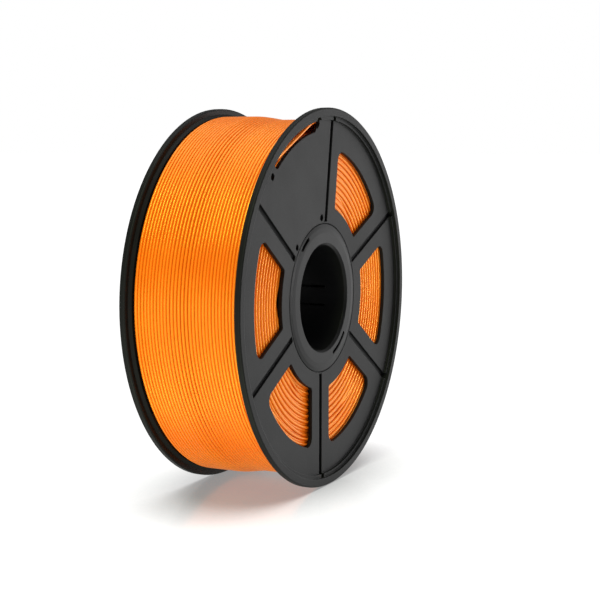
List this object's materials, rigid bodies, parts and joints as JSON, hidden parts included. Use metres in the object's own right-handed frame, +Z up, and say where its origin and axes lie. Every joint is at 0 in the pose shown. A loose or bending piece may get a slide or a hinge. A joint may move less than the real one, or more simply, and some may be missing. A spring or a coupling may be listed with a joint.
{
  "type": "filament spool",
  "caption": "Spool of 3-D printer filament: two windowed flanges snapped together through a winding drum, with orange filament wound level and its end tucked in a slot.",
  "frame": {"origin": "centre of the bore, midway between the two rim faces", "axes": "+Y along the spool's axis from the front flange to the rear flange, +Z up as it stands on its rims, +X to the right seen from the front"},
  "size_m": [0.2, 0.0672, 0.2],
  "materials": {
    "spool_plastic": "dark grey moulded plastic, fine satin texture",
    "filament": "silk-gloss orange extruded strand"
  },
  "bodies": {
    "root": {"front_flange": "spool_plastic", "rear_flange": "spool_plastic", "winding_drum": "spool_plastic", "front_sleeve": "spool_plastic", "rear_sleeve": "spool_plastic", "filament_inner_layers": "filament", "filament_top_layer": "filament", "filament_tail": "filament", "filament_start": "filament"}
  },
  "joints": []
}
